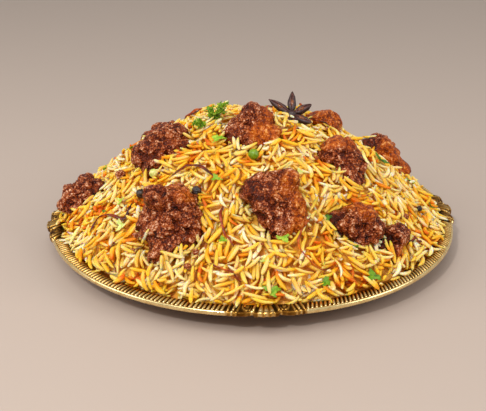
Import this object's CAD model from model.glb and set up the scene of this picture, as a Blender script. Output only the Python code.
# Mutton biryani heaped on a round brass tray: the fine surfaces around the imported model.
# Sizes typed here are in millimetres, and addPiece turns them into metres.
from math import cos, pi, radians, sin

import bmesh
import bpy
import numpy as np
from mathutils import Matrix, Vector, noise
from mathutils.bvhtree import BVHTree


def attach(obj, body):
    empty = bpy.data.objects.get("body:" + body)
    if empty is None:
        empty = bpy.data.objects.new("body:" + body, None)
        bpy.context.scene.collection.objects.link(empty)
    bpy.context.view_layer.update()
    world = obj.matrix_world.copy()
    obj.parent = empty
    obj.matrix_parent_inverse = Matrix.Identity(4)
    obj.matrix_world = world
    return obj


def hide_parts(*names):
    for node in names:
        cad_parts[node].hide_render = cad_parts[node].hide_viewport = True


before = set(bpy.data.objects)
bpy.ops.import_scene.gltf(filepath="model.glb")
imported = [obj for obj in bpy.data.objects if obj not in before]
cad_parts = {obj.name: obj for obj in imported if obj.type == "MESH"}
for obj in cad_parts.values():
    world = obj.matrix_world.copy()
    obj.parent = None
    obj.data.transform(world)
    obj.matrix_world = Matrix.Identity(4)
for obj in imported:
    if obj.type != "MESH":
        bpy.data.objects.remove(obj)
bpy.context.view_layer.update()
mm = 0.001
print("frame loaded:", len(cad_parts), "nodes")


# small helpers

def smoothStep(values, low, high):
    share = np.clip((values - low) / (high - low), 0.0, 1.0)
    return share * share * (3 - 2 * share)


def unit(vector):
    return vector / np.linalg.norm(vector)


def unitRows(vectors):
    return vectors / np.linalg.norm(vectors, axis=1, keepdims=True)


def turnedFlat(points, angle):
    # points turned about the upright axis
    x = points[..., 0] * cos(angle) - points[..., 1] * sin(angle)
    y = points[..., 0] * sin(angle) + points[..., 1] * cos(angle)
    return np.stack([x, y, points[..., 2]], -1)


def colourOf(red, green, blue):
    # screen colour from 0 to 255, as the linear colour that a shader wants
    screen = np.array([red, green, blue]) / 255
    return np.where(screen <= 0.04045, screen / 12.92, ((screen + 0.055) / 1.055) ** 2.4)


def softWaves(seed, size, count=9, dimensions=3):
    # a smooth uneven field, about -1 to 1, whose lumps are roughly size across
    chance = np.random.default_rng(seed)
    ways = unitRows(chance.normal(size=(count, dimensions)))
    ways *= (pi / (size * chance.uniform(0.7, 1.5, count)))[:, None]
    starts = chance.uniform(0, 2 * pi, count)
    return lambda places: np.cos(places @ ways.T + starts).mean(axis=-1) * (count / 2) ** 0.5


def nodePoints(name):
    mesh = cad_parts[name].data
    points = np.zeros(len(mesh.vertices) * 3)
    mesh.vertices.foreach_get("co", points)
    return points.reshape(-1, 3) / mm


def nodeTree(name):
    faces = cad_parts[name].data.polygons
    return BVHTree.FromPolygons(nodePoints(name).tolist(), [face.vertices[:] for face in faces])


def pieceTree(piece):
    points = [(vert.co / mm)[:] for vert in piece.data.vertices]
    return BVHTree.FromPolygons(points, [face.vertices[:] for face in piece.data.polygons])


def addObject(name, data):
    thing = bpy.data.objects.new(name, data)
    bpy.context.scene.collection.objects.link(thing)
    return thing


def addPiece(name, points, faces, material, replaced=(), marks=None):
    # faces is a list of arrays, each with one row of corners for a face; marks are values for the
    # material, one for each point
    mesh = bpy.data.meshes.new(name)
    mesh.vertices.add(len(points))
    mesh.vertices.foreach_set("co", (np.asarray(points) * mm).astype(np.float32).ravel())
    corners = np.concatenate([block.ravel() for block in faces])
    sizes = np.concatenate([np.full(len(block), block.shape[1]) for block in faces])
    mesh.loops.add(len(corners))
    mesh.loops.foreach_set("vertex_index", corners.astype(np.int32))
    mesh.polygons.add(len(sizes))
    mesh.polygons.foreach_set("loop_start", (np.cumsum(sizes) - sizes).astype(np.int32))
    mesh.update(calc_edges=True)
    mesh.validate()
    mesh.shade_smooth()
    for label, values in (marks or {}).items():
        values = np.asarray(values, np.float32)
        if values.ndim == 1:
            mesh.attributes.new(label, "FLOAT", "POINT").data.foreach_set("value", values)
        else:
            colours = np.ones((len(values), 4), np.float32)
            colours[:, :3] = values
            mesh.attributes.new(label, "FLOAT_COLOR", "POINT").data.foreach_set("color", colours.ravel())
    mesh.materials.append(material)
    piece = addObject(name, mesh)
    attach(piece, "root")
    if replaced:
        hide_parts(*replaced)
    print(name, "made:", len(corners) - 2 * len(sizes), "triangles")
    return piece


def addJoined(name, parts, material, labels=(), replaced=()):
    # one piece of many parts, which are (points, faces, values for each label)
    points, faces, used = [], [], 0
    marks = {label: [] for label in labels}
    for body, blocks, values in parts:
        points.append(body)
        faces += [block + used for block in blocks]
        used += len(body)
        for label, value in zip(labels, values):
            marks[label].append(np.broadcast_to(value, (len(body),) + np.shape(value)[1:]))
    marks = {label: np.concatenate(values) for label, values in marks.items()}
    return addPiece(name, np.concatenate(points), faces, material, replaced, marks)


def gridFaces(rows, columns):
    # quads between closed rings of points
    row = np.arange(rows - 1)[:, None] * columns
    column = np.arange(columns)[None, :]
    after = (column + 1) % columns
    quads = np.stack([row + column, row + after, row + columns + after, row + columns + column], -1)
    return quads.reshape(-1, 4)


def fanFaces(start, count, middle, backwards=False):
    # triangles from a closed ring of points to one point
    ring = np.arange(count)
    after = (ring + 1) % count
    first, second = (after, ring) if backwards else (ring, after)
    return np.stack([start + first, start + second, np.full(count, middle)], -1)


def tubeFaces(rows, columns):
    # rings closed by two last points, one for each end
    count = rows * columns
    ends = [fanFaces(0, columns, count, True), fanFaces(count - columns, columns, count + 1)]
    return [gridFaces(rows, columns)] + ends


class Shader:
    # a material whose nodes are added by short calls
    def __init__(self, name):
        self.material = bpy.data.materials.new(name)
        self.material.use_nodes = True
        self.nodes = self.material.node_tree.nodes
        self.links = self.material.node_tree.links
        self.surface = self.nodes["Principled BSDF"]
        self.place = self.nodes.new("ShaderNodeTexCoord").outputs["Object"]

    def set(self, **values):
        for label, value in values.items():
            self.surface.inputs[label.replace("_", " ")].default_value = value

    def feed(self, label, socket):
        self.links.new(socket, self.surface.inputs[label])

    def give(self, socket, value):
        # a number or a colour is set on the socket, and another socket is linked to it
        if isinstance(value, (int, float)):
            socket.default_value = value
        elif isinstance(value, tuple):
            socket.default_value = (*colourOf(*value), 1.0)
        else:
            self.links.new(value, socket)

    def attribute(self, label, output="Fac"):
        node = self.nodes.new("ShaderNodeAttribute")
        node.attribute_name = label
        return node.outputs[output]

    def noise(self, size, detail=2.0, roughness=0.5):
        node = self.nodes.new("ShaderNodeTexNoise")
        node.inputs["Scale"].default_value = 1 / (size * mm)
        node.inputs["Detail"].default_value = detail
        node.inputs["Roughness"].default_value = roughness
        self.links.new(self.place, node.inputs["Vector"])
        return node.outputs["Fac"]

    def cells(self, size):
        node = self.nodes.new("ShaderNodeTexVoronoi")
        node.inputs["Scale"].default_value = 1 / (size * mm)
        self.links.new(self.place, node.inputs["Vector"])
        return node.outputs["Distance"]

    def math(self, kind, first, second):
        node = self.nodes.new("ShaderNodeMath")
        node.operation = kind
        self.give(node.inputs[0], first)
        self.give(node.inputs[1], second)
        return node.outputs[0]

    def span(self, value, low, high, toLow=0.0, toHigh=1.0):
        # what lies from low to high, spread from toLow to toHigh
        node = self.nodes.new("ShaderNodeMapRange")
        for socket, given in zip(node.inputs, (value, low, high, toLow, toHigh)):
            self.give(socket, given)
        return node.outputs["Result"]

    def uneven(self, size, low, high, detail=2.0, roughness=0.5):
        # noise between two values
        return self.span(self.noise(size, detail, roughness), 0.3, 0.7, low, high)

    def ramp(self, value, *stops):
        node = self.nodes.new("ShaderNodeValToRGB")
        elements = node.color_ramp.elements
        while len(elements) < len(stops):
            elements.new(0.5)
        for element, (place, colour) in zip(elements, stops):
            element.position = place
            element.color = (*colourOf(*colour), 1.0)
        self.links.new(value, node.inputs["Fac"])
        return node.outputs["Color"]

    def mix(self, share, first, second, blend="MIX"):
        node = self.nodes.new("ShaderNodeMix")
        node.data_type = "RGBA"
        node.blend_type = blend
        for index, given in ((0, share), (6, first), (7, second)):  # the share and the two colours
            self.give(node.inputs[index], given)
        return node.outputs[2]

    def bump(self, height, depth):
        node = self.nodes.new("ShaderNodeBump")
        node.inputs["Distance"].default_value = depth * mm
        self.links.new(height, node.inputs["Height"])
        self.feed("Normal", node.outputs["Normal"])


def garnishMaterial(name, mark, look):
    # colour follows a mark on the points. In look, uneven, rough and bumps start with the size of
    # their noise, and then have its amount, its two ends or its depth
    garnish = Shader(name)
    tone = garnish.attribute(mark)
    if "uneven" in look:
        size, amount = look["uneven"]
        tone = garnish.math("ADD", tone, garnish.uneven(size, -amount, amount, 3.0))
    garnish.feed("Base Color", garnish.ramp(tone, *look["colours"]))
    garnish.feed("Roughness", garnish.uneven(*look["rough"]))
    garnish.set(**look.get("shader", {}))
    size, depth = look["bumps"]
    garnish.bump(garnish.noise(size, 3.0), depth)
    return garnish.material


# camera, floor and lights

view = dict(place=(0.0, -568.61, 269.19), aim=(-6.0, -19.0, 28.8), lens=64.67)
floor = dict(size=9000.0, colour=(180, 163, 150), rough=0.6)
lamps = dict(
    above=dict(place=(-150, -560, 980), size=800, power=4.6),
    left=dict(place=(-1000, -250, 650), size=700, power=4.6),
    right=dict(place=(1100, -350, 700), size=700, power=5.4),
    glint=dict(place=(-300, -800, 820), size=70, power=4.4),
)
lampAim = (0, 0, 40)
studio = dict(Color=(1.0, 0.98, 0.96, 1.0), Strength=0.54)  # the soft light from all round


def aimAt(thing, place, target):
    thing.location = Vector(place) * mm
    thing.rotation_euler = (Vector(target) - Vector(place)).to_track_quat("-Z", "Y").to_euler()


def makeCamera():
    camera = addObject("camera", bpy.data.cameras.new("camera"))
    camera.data.sensor_width = 36.0
    camera.data.lens = view["lens"]
    camera.data.clip_start = 0.01
    aimAt(camera, view["place"], view["aim"])
    bpy.context.scene.camera = camera


def makeFloor():
    size = floor["size"] * mm
    corners = [(-size, -size, 0), (size, -size, 0), (size, size, 0), (-size, size, 0)]
    mesh = bpy.data.meshes.new("floor")
    mesh.from_pydata(corners, [], [(0, 1, 2, 3)])
    pale = Shader("pale floor")
    pale.set(Base_Color=(*colourOf(*floor["colour"]), 1.0), Roughness=floor["rough"])
    mesh.materials.append(pale.material)
    addObject("floor", mesh)


def makeLights():
    for name, lamp in lamps.items():
        light = addObject(name, bpy.data.lights.new(name, "AREA"))
        light.data.shape = "DISK"
        light.data.size = lamp["size"] * mm
        light.data.energy = lamp["power"]
        aimAt(light, lamp["place"], lampAim)
    world = bpy.data.worlds.new("studio")
    world.use_nodes = True
    for label, value in studio.items():
        world.node_tree.nodes["Background"].inputs[label].default_value = value
    bpy.context.scene.world = world
    bpy.context.scene.view_settings.view_transform = "Standard"


makeCamera()
makeFloor()
makeLights()
print("camera, floor and lights made")


# mutton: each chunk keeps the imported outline, with folds, clefts and a crumbly crust on it

mutton = dict(
    seed=5,  # without it the folds differ from run to run
    detail=6,  # subdivisions of the ball that each chunk starts from
    crowd=1.45,  # how much closer its points are on the side that shows
    easing=22,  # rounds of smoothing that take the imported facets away
    cuts=6, cutDepth=(0.78, 0.95), cutEdge=0.8, plump=1.05,  # flat faces as a knife leaves them
    warpSize=6.0, warp=2.0,
    lumpSize=13.0, lumpDepth=2.4,
    clodSize=8.5, clodDepth=1.0, crevice=0.35,  # clods of crust, with crevices between them
    hollowSize=5.0, hollowDepth=1.5, hollowFrom=0.2, hollowEdge=0.25,
    crumbSize=2.3, crumbDepth=1.3,
    grainSize=1.3, grainDepth=0.75,
    patchSize=8.0, patches=(0.75, 0.7),  # how rough the crust is, and how much that differs
    glazeSize=15.0, glazeSmooth=0.72, glazeFill=0.7,
    crust=((0.0, (28, 4, 0)), (0.28, (96, 28, 0)), (0.55, (156, 72, 16)), (0.78, (198, 126, 82)),
           (1.0, (238, 196, 160))),
    sauce=((0.1, (104, 36, 0)), (0.34, (168, 70, 0)), (0.58, (200, 98, 2)), (0.84, (234, 164, 84))),
    spice=(136, 48, 4), speck=(238, 200, 168),
    # how wide the spots of each are, and how much they do to the colour
    fineSize=0.9, fineTone=0.45, charTone=0.42,
    spiceSize=3.0, spiceShare=0.35,
    speckSize=1.2, speckEdge=(0.60, 0.67), speckShare=0.75,
    sauceSize=2.6, sauceTone=(-0.1, 0.55), sauceShare=0.8,
    # roughness, as the size of its noise and its two ends, and how much smoother a glaze makes it
    rough=(1.6, 0.13, 0.32), glazeGloss=0.05,
    shine=0.19, pitSize=1.2, pitDepth=0.7,
)
# for each chunk, where sauce has left a smooth glaze and where it is darkest: the side that it is on,
# and how much of it; then how far it is moved, and the parts drawn out: to where, and how broad each is
chunkLooks = {
    "mutton_left": dict(
        char=(1.0, -0.6, -0.2, 0.45),
        pulls=[(-130.5, -12.0, 36.0, 0.10), (-101.0, -14.0, 44.0, 0.07)]),
    "mutton_upper_left": dict(
        glaze=(0.2, -0.2, 1.0, 0.2),
        pulls=[(-40.5, -28.0, 72.0, 0.10), (-44.5, -14.0, 82.0, 0.07), (-62.0, -42.0, 58.0, 0.12),
               (-45.0, -37.0, 62.0, 0.08)]),
    "mutton_front_left": dict(
        glaze=(0.1, 0.1, 1.0, 0.25), char=(0.5, -0.5, -0.6, 0.3), shift=(2.0, 0.0, 1.5),
        pulls=[(-61.5, -90.0, 70.0, 0.075), (-58.0, -106.0, 27.0, 0.04), (-48.0, -104.0, 32.0, 0.05),
               (-38.0, -101.0, 37.0, 0.05)]),
    "mutton_top": dict(
        glaze=(0.8, -0.5, 0.3, 0.85), char=(-0.5, -0.4, -0.6, 0.2),
        pulls=[(17.5, -32.0, 82.5, 0.10), (-19.0, -32.0, 81.5, 0.08), (1.0, -42.0, 77.0, 0.10)]),
    "mutton_centre": dict(
        glaze=(1.0, -0.3, 0.1, 0.75), char=(-1.0, -0.3, 0.3, 0.3),
        pulls=[(-6.5, -84.0, 69.0, 0.06), (25.0, -82.0, 79.5, 0.08)]),
    "mutton_upper_right": dict(
        glaze=(0.2, -0.2, 1.0, 0.6), char=(-0.8, -0.4, 0.3, 0.35), shift=(-3.0, -1.0, 0.5),
        pulls=[(67.0, -49.0, 52.5, 0.11), (45.0, -36.0, 73.0, 0.06)]),
    "mutton_front_right": dict(
        glaze=(0.1, 0.0, 1.0, 0.55), char=(-0.9, -0.4, 0.1, 0.45), shift=(1.0, 0.0, -0.5),
        pulls=[(82.0, -82.0, 37.0, 0.14), (46.0, -80.0, 44.0, 0.14)]),
    "mutton_edge_right": dict(
        glaze=(0.2, -0.6, -0.5, 0.4), char=(-1.0, -0.5, 0.1, 1.0), shift=(-2.5, -1.0, 2.0),
        pulls=[(87.0, -86.0, 22.5, 0.10), (79.0, -84.0, 30.0, 0.05)]),
    "mutton_back_right": dict(
        glaze=(0.8, -0.4, 0.5, 1.1), char=(-0.9, -0.4, 0.0, 0.6), shift=(-2.0, 0.0, 2.0),
        pulls=[(103.5, 32.0, 52.0, 0.10), (115.5, 32.0, 31.0, 0.06)]),
    "mutton_top_right": dict(
        glaze=(0.6, -0.3, 0.6, 1.9), pulls=[(62.5, 21.0, 72.0, 0.15), (56.5, 20.5, 80.5, 0.10)]),
    "mutton_behind": dict(glaze=(-0.7, 0.6, 0.3, 0.5), char=(0.6, 0.5, -0.4, 0.4)),
    "mutton_behind_right": dict(glaze=(0.6, 0.7, 0.2, 0.6)),
    "mutton_behind_left": dict(shift=(0.0, 3.0, -5.0)),
}


def muttonMaterial():
    meat = Shader("braised mutton")
    height = meat.attribute("crust")
    glaze = meat.attribute("glaze")
    fine = meat.noise(mutton["fineSize"], 3.0, 0.65)
    spice = meat.noise(mutton["spiceSize"], 3.0, 0.6)
    level = meat.math("ADD", height, meat.span(fine, 0.3, 0.7, -mutton["fineTone"], mutton["fineTone"]))
    charred = meat.math("MULTIPLY", meat.attribute("char"), mutton["charTone"])
    level = meat.math("SUBTRACT", level, charred)
    crust = meat.ramp(level, *mutton["crust"])
    crust = meat.mix(meat.span(spice, 0.35, 0.7, 0.0, mutton["spiceShare"]), crust, mutton["spice"])
    speck = meat.span(meat.noise(mutton["speckSize"], 2.0, 0.6), *mutton["speckEdge"])
    speck = meat.math("MULTIPLY", speck, meat.span(level, 0.35, 0.7, 0.0, mutton["speckShare"]))
    crust = meat.mix(speck, crust, mutton["speck"])
    sauce = meat.uneven(mutton["sauceSize"], *mutton["sauceTone"], 3.0, 0.6)
    sauce = meat.math("ADD", sauce, meat.math("MULTIPLY", level, 0.5))
    sauce = meat.ramp(sauce, *mutton["sauce"])
    meat.feed("Base Color", meat.mix(meat.math("MULTIPLY", glaze, mutton["sauceShare"]), crust, sauce))
    rough = meat.uneven(*mutton["rough"])
    rough = meat.math("SUBTRACT", rough, meat.math("MULTIPLY", glaze, mutton["glazeGloss"]))
    meat.feed("Roughness", rough)
    meat.set(Specular_IOR_Level=mutton["shine"])
    meat.bump(meat.math("ADD", fine, meat.cells(mutton["pitSize"])), mutton["pitDepth"])
    return meat.material


def ballParts(detail):
    builder = bmesh.new()
    bmesh.ops.create_icosphere(builder, subdivisions=detail, radius=1.0)
    ways = np.array([vert.co[:] for vert in builder.verts])
    faces = np.array([[vert.index for vert in face.verts] for face in builder.faces])
    edges = np.array([[vert.index for vert in edge.verts] for edge in builder.edges])
    builder.free()
    return unitRows(ways), faces, edges


def eased(values, edges, rounds):
    # each point moves towards the mean of its neighbours
    ends = np.concatenate([edges[:, 0], edges[:, 1]])
    others = np.concatenate([edges[:, 1], edges[:, 0]])
    degree = np.bincount(ends)
    for _ in range(rounds):
        values = 0.4 * values + 0.6 * np.bincount(ends, weights=values[others]) / degree
    return values


def crowded(ways, side, crowd):
    # moves the points of a ball towards one side, where they then lie closer together
    along = ways @ side
    flat = (ways - along[:, None] * side) / np.maximum(1 + along, 1e-9)[:, None] / crowd
    size = (flat ** 2).sum(axis=1)[:, None]
    return (2 * flat + (1 - size) * side) / (1 + size)


def crumbAt(spot, size):
    return 0.55 - noise.voronoi(spot / size)[0][0]


def crustAt(spot, glaze):
    # how far the crust stands out here, and how light it is
    spot = spot + noise.noise_vector(spot / mutton["warpSize"]) * mutton["warp"]
    wide = spot / mutton["lumpSize"]
    lump = noise.noise(wide) + 0.6 * noise.noise(wide * 2.3)
    nearest, second = noise.voronoi(spot / mutton["clodSize"])[0][:2]
    clod = min((second - nearest) / mutton["crevice"], 1.0) - 1.0
    hollow = noise.noise(spot / mutton["hollowSize"] + Vector((5, 3, 1)))
    hollow = min(max(hollow - mutton["hollowFrom"], 0.0) / mutton["hollowEdge"], 1.0)
    crumb = crumbAt(spot, mutton["crumbSize"])
    grain = crumbAt(spot, mutton["grainSize"])
    mean, change = mutton["patches"]
    patchy = mean + change * noise.noise(spot / mutton["patchSize"] + Vector((9, 2, 4)))
    rough = (1 - mutton["glazeSmooth"] * glaze) * patchy
    broken = clod * mutton["clodDepth"] - hollow * mutton["hollowDepth"]
    out = lump * mutton["lumpDepth"] + broken * (1 - mutton["glazeFill"] * glaze)
    out += (crumb * mutton["crumbDepth"] + grain * mutton["grainDepth"]) * rough
    tone = 0.5 + 0.08 * lump + 0.75 * crumb + 0.7 * grain - 0.45 * hollow + 0.35 * clod
    return out, tone


def markedSide(mark, spots, ways, seed):
    # from 0 to 1, how much of a side's mark each point of a chunk has
    if not mark:
        return np.zeros(len(ways))
    *side, amount = mark
    share = ways @ unit(np.array(side)) * 1.1 + softWaves(seed, mutton["glazeSize"])(spots) * 0.5
    return smoothStep(share, 1.25 - amount, 1.6 - amount)


def makeChunk(name, seed, ball, material):
    ways, faces, edges = ball
    look = chunkLooks.get(name, {})
    middle = nodePoints(name).mean(axis=0)
    ways = crowded(ways, unit(middle - [0, 0, 25]), mutton["crowd"])
    tree = nodeTree(name)
    radii = np.array([tree.ray_cast(middle, way)[3] or 0.0 for way in ways.tolist()])
    radii = eased(radii, edges, mutton["easing"])
    chance = np.random.default_rng(seed + 200)
    edge = mutton["cutEdge"]
    for cut in chance.normal(size=(mutton["cuts"], 3)):
        facing = ways @ unit(cut)
        flat = radii.mean() * chance.uniform(*mutton["cutDepth"]) / np.maximum(facing, 0.05)
        radii = -np.logaddexp(-radii * edge, -flat * edge) / edge  # the lesser of the two, rounded
    radii = radii * mutton["plump"]
    middle = middle + look.get("shift", (0, 0, 0))
    for *end, spread in look.get("pulls", ()):
        toward = np.array(end) - middle
        reach = np.linalg.norm(toward)
        near = np.exp(-((1 - ways @ (toward / reach)) / spread) ** 2)
        radii = radii + (reach - radii) * near
    away = Vector((seed * 37.0, seed * 11.0, 0.0))
    spots = ways * radii[:, None]
    glaze = markedSide(look.get("glaze"), spots, ways, seed)
    char = markedSide(look.get("char"), spots, ways, seed + 50)
    crust = [crustAt(Vector(spot) + away, smooth) for spot, smooth in zip(spots.tolist(), glaze)]
    out, tone = np.array(crust).T
    points = middle + ways * (radii + out)[:, None]
    marks = {"crust": np.clip(tone, 0, 1), "glaze": glaze, "char": char}
    return addPiece(name + "_crust", points, [faces], material, [name], marks)


noise.seed_set(mutton["seed"])
ball = ballParts(mutton["detail"])
meatMaterial = muttonMaterial()
chunkNames = sorted(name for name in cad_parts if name.startswith("mutton_"))
chunks = [makeChunk(name, seed, ball, meatMaterial) for seed, name in enumerate(chunkNames, start=1)]
print("mutton made:", len(chunks), "chunks")


# the height map: how high the food reaches above each spot of the tray

ground = dict(
    half=146.0, cell=0.5, coarse=2.0,
    margin=4,  # how much room round a chunk isn't trusted to be rice
    domeEdge=127.0, domeBase=14.6, domeRise=73.0, domeRadius=131.0,  # the heap's round outline
    spreads=900, softenings=6,
    coreDepth=5.8, coreRadius=130.0, coreRelief=1.1, coreEdge=13.5, coreTurns=240, coreRings=64,
    # the tray's top: radius and height, from the floor out over the lip
    trayTop=((0, 1.6), (118, 8.2), (130, 13.2), (131.4, 15), (134.5, 16.4), (138.0, 16.2), (140.2, 15.4),
             (140.3, 0)),
)


def castDown(tree, xs, ys, way=1):
    # the highest point over each place, or the lowest where way is -1
    heights = np.full(xs.shape, np.nan)
    for spot in np.ndindex(xs.shape):
        hit = tree.ray_cast((xs[spot], ys[spot], 300.0 * way), (0, 0, -way))[0]
        if hit:
            heights[spot] = hit.z
    return heights


def mapPlaces(cell):
    axis = np.arange(-ground["half"], ground["half"] + 0.1, cell)
    return np.meshgrid(axis, axis)


def sample(grid, xs, ys, cell):
    # reads a height map between its cells
    column = np.clip((xs + ground["half"]) / cell, 0, grid.shape[1] - 1.001)
    row = np.clip((ys + ground["half"]) / cell, 0, grid.shape[0] - 1.001)
    left, low = column.astype(int), row.astype(int)
    across, up = column - left, row - low
    lower = grid[low, left] * (1 - across) + grid[low, left + 1] * across
    upper = grid[low + 1, left] * (1 - across) + grid[low + 1, left + 1] * across
    return lower * (1 - up) + upper * up


def neighbours(grid):
    # the sum of the four cells beside each one
    return np.roll(grid, 1, 0) + np.roll(grid, -1, 0) + np.roll(grid, 1, 1) + np.roll(grid, -1, 1)


def filledIn(heights, known):
    # gives unknown cells the smooth surface that their neighbours suggest
    filled = np.where(known, heights, heights[known].mean())
    for _ in range(ground["spreads"]):
        filled = np.where(known, heights, neighbours(filled) / 4)
    for _ in range(ground["softenings"]):
        filled = (neighbours(filled) + 2 * filled) / 6
    return filled


def surveyRice():
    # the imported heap's height, with a smooth surface where chunks and the star anise stand in it
    xs, ys = mapPlaces(ground["coarse"])
    heights = castDown(nodeTree("rice"), xs, ys)
    covered = np.zeros(xs.shape, bool)
    for name in chunkNames + ["star_anise"]:
        low = nodePoints(name).min(axis=0) - ground["margin"]
        high = nodePoints(name).max(axis=0) + ground["margin"]
        middle, reach = (low + high) / 2, (high - low) / 2
        covered |= ((xs - middle[0]) / reach[0]) ** 2 + ((ys - middle[1]) / reach[1]) ** 2 < 1
    reach = np.hypot(xs, ys)
    outside = reach > ground["domeEdge"]
    dome = np.maximum(ground["domeRise"] * (1 - (reach / ground["domeRadius"]) ** 2), 0)
    heights = np.where(outside, ground["domeBase"] + dome, heights)
    return filledIn(heights, (~covered & ~np.isnan(heights)) | outside)


def surveyMeat():
    # the top and the underside of the chunks, where there is one
    top = np.full(mapX.shape, -1.0)
    under = np.full(mapX.shape, 999.0)
    for piece in chunks:
        tree = pieceTree(piece)
        low = (np.array(piece.bound_box).min(axis=0) / mm + ground["half"]) / ground["cell"]
        high = (np.array(piece.bound_box).max(axis=0) / mm + ground["half"]) / ground["cell"] + 2
        window = (slice(int(low[1]), int(high[1])), slice(int(low[0]), int(high[0])))
        top[window] = np.fmax(top[window], castDown(tree, mapX[window], mapY[window]))
        under[window] = np.fmin(under[window], castDown(tree, mapX[window], mapY[window], -1))
    return top, under


mapX, mapY = mapPlaces(ground["cell"])
fromMiddle = np.hypot(mapX, mapY)
goal = sample(surveyRice(), mapX, mapY, ground["coarse"])
meatTop, meatUnder = surveyMeat()
slopeY, slopeX = np.gradient(goal, ground["cell"])
steepness = np.sqrt(1 + slopeX ** 2 + slopeY ** 2)  # how much further it is down than into the slope
print("heap surveyed:", goal.shape)


# rice: a lower core with relief, and loose grains laid on it one by one

rice = dict(
    seed=21,
    laid=15000,  # grains tried to fill the heap, of which the deeply buried ones are dropped
    bits=2000,  # short pieces laid after them, each in the emptiest of so many spots
    bitSpots=50, bitLength=(0.5, 0.75), bitOver=1.0,
    standing=900, standingTilt=(0.2, 0.75), standingLift=0.4,  # grains that stick out of the top
    onMeat=6, strayReach=0.85,  # stray grains on the chunks
    bareMeat=(-50, -95, 17),  # but none here: x, y and how far round
    stayOver=4, staySlope=0.8,  # nor where a chunk is this near the rice, or steeper
    clear=(1, 3), tuck=1.6,  # how far over and under the rice a chunk keeps others out, or lets one in
    length=(12.0, 2.0), shortest=7.0, longest=16.0,
    broken=0.10, brokenLength=(0.45, 0.8),  # share of broken grains, and how much is left of them
    radius=(1.30, 0.17), flatness=0.84,
    bearings=5,  # ways round that are tried for a grain, to find how it lies lowest
    swirl=2.2, swirlSize=16.0, stray=0.35,  # how far bearings turn together, and each by itself
    sink=0.5,  # how far a grain settles into those below
    bend=1.0, curl=0.35, tilt=0.13, steepest=1.3, sag=(0.5, 1.2),
    buried=3.8,
    overfill=-0.5,  # no grain is laid with its middle this far over the heap's outline
    clumpRise=1.5, clumpSize=12.0,  # how much the fill goes up and down, in lumps this wide
    outermost=133.5,  # how far out grains lie
    edgeRise=2.8, edge=(104, 126),  # how much fuller the tray's edge is, and from where to where
    leaning=6.0, leaningShare=0.15, leaningOver=2.5,  # how high up a chunk a grain's end goes
    spots=5,  # the emptiest of so many spots gets the next grain
    # rings and sides of a grain near the top, and of one deeper than this
    detail=(7, 6), deepDetail=(4, 5), deep=2.0,
    # fuller spots: x, y, how broad and how high
    mounds=[(-44, -104, 9, 2.5), (19, -9, 10, 5.0), (-4, -46, 9, 2.0), (96, -22, 14, 2.0),
            (-92, -70, 14, 2.0), (-125, -26, 9, 3.0)],
    # grains set by hand, from one end to the other
    placed=[
        ((-53.1, -110.3, 36.7), (-53.6, -110.0, 25.3)), ((-51.5, -109.4, 38.2), (-49.8, -110.0, 28.5)),
        ((-45.8, -111.9, 26.3), (-43.6, -107.1, 33.8)), ((-41.6, -102.8, 41.0), (-39.9, -109.0, 31.0)),
        ((-48.8, -109.0, 30.0), (-43.7, -104.5, 39.5)), ((-66.6, -94.5, 36.0), (-61.1, -99.6, 48.7)),
        ((-109.8, -29.3, 35.3), (-102.0, -34.3, 39.3)), ((-12.3, -35.1, 84.5), (-10.8, -45.2, 79.5)),
        ((-8.7, -36.2, 84.5), (-7.9, -46.3, 79.2)), ((71.9, -33.8, 75.0), (75.5, -41.6, 68.3)),
    ],
    placedRadius=1.2, placedBend=0.8, placedSag=0.3,
)
# how far saffron has stained each kind of grain, from 0 to 1, and how often it comes
grainKinds = {
    "rice_white": dict(stained=0.30, share=0.48),
    "rice_yellow": dict(stained=0.56, share=0.42),
    "rice_orange": dict(stained=0.82, share=0.10),
}
stains = dict(
    colours=[(0.0, (248, 224, 186)), (0.25, (245, 201, 135)), (0.5, (242, 185, 80)), (0.7, (243, 174, 34)),
             (0.86, (234, 144, 12)), (1.0, (208, 102, 6))],
    alongGrain=0.20, betweenGrains=0.09, patches=0.26, patchSize=6.0, below=0.22, brightness=0.06,
    # which grains are of one kind: big and small patches, chance, and how deep a grain lies
    seed=5,
    bigPatch=14.0, smallPatch=9.0, smallShare=0.55, together=0.62, apart=0.45, deeper=0.16,
    mottleSize=1.6, mottleShare=0.35, mottle=(255, 206, 110),
    # what is uneven starts with the size of its noise, and then has its two ends or its depth
    rough=(2.6, 0.38, 0.58), bumps=(0.7, 0.10),
    shader=dict(Specular_IOR_Level=0.24, Subsurface_Weight=0.8, Subsurface_Scale=0.005,
                Subsurface_Radius=(1.0, 0.62, 0.16)),
    core=((0.1, (204, 118, 10)), (0.5, (230, 156, 30)), (0.9, (244, 190, 72))),
    coreUneven=(9.0, -0.25, 0.25), coreRough=(1.5, 0.4, 0.65), coreBumps=(2.2, 0.5),
)


def riceMaterial(name):
    grains = Shader(name)
    stain = grains.attribute("stain", "Color")
    mottle = grains.span(grains.noise(stains["mottleSize"]), 0.3, 0.75, 0.0, stains["mottleShare"])
    grains.feed("Base Color", grains.mix(mottle, stain, stains["mottle"], "SOFT_LIGHT"))
    grains.feed("Roughness", grains.uneven(*stains["rough"], 1.0))
    grains.set(**stains["shader"])
    size, depth = stains["bumps"]
    grains.bump(grains.noise(size), depth)
    return grains.material


def coreMaterial():
    core = Shader("packed rice under the loose grains")
    tone = core.math("ADD", core.attribute("relief"), core.uneven(*stains["coreUneven"]))
    core.feed("Base Color", core.ramp(tone, *stains["core"]))
    core.feed("Roughness", core.uneven(*stains["coreRough"]))
    size, depth = stains["coreBumps"]
    core.bump(core.cells(size), depth)
    return core.material


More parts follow.
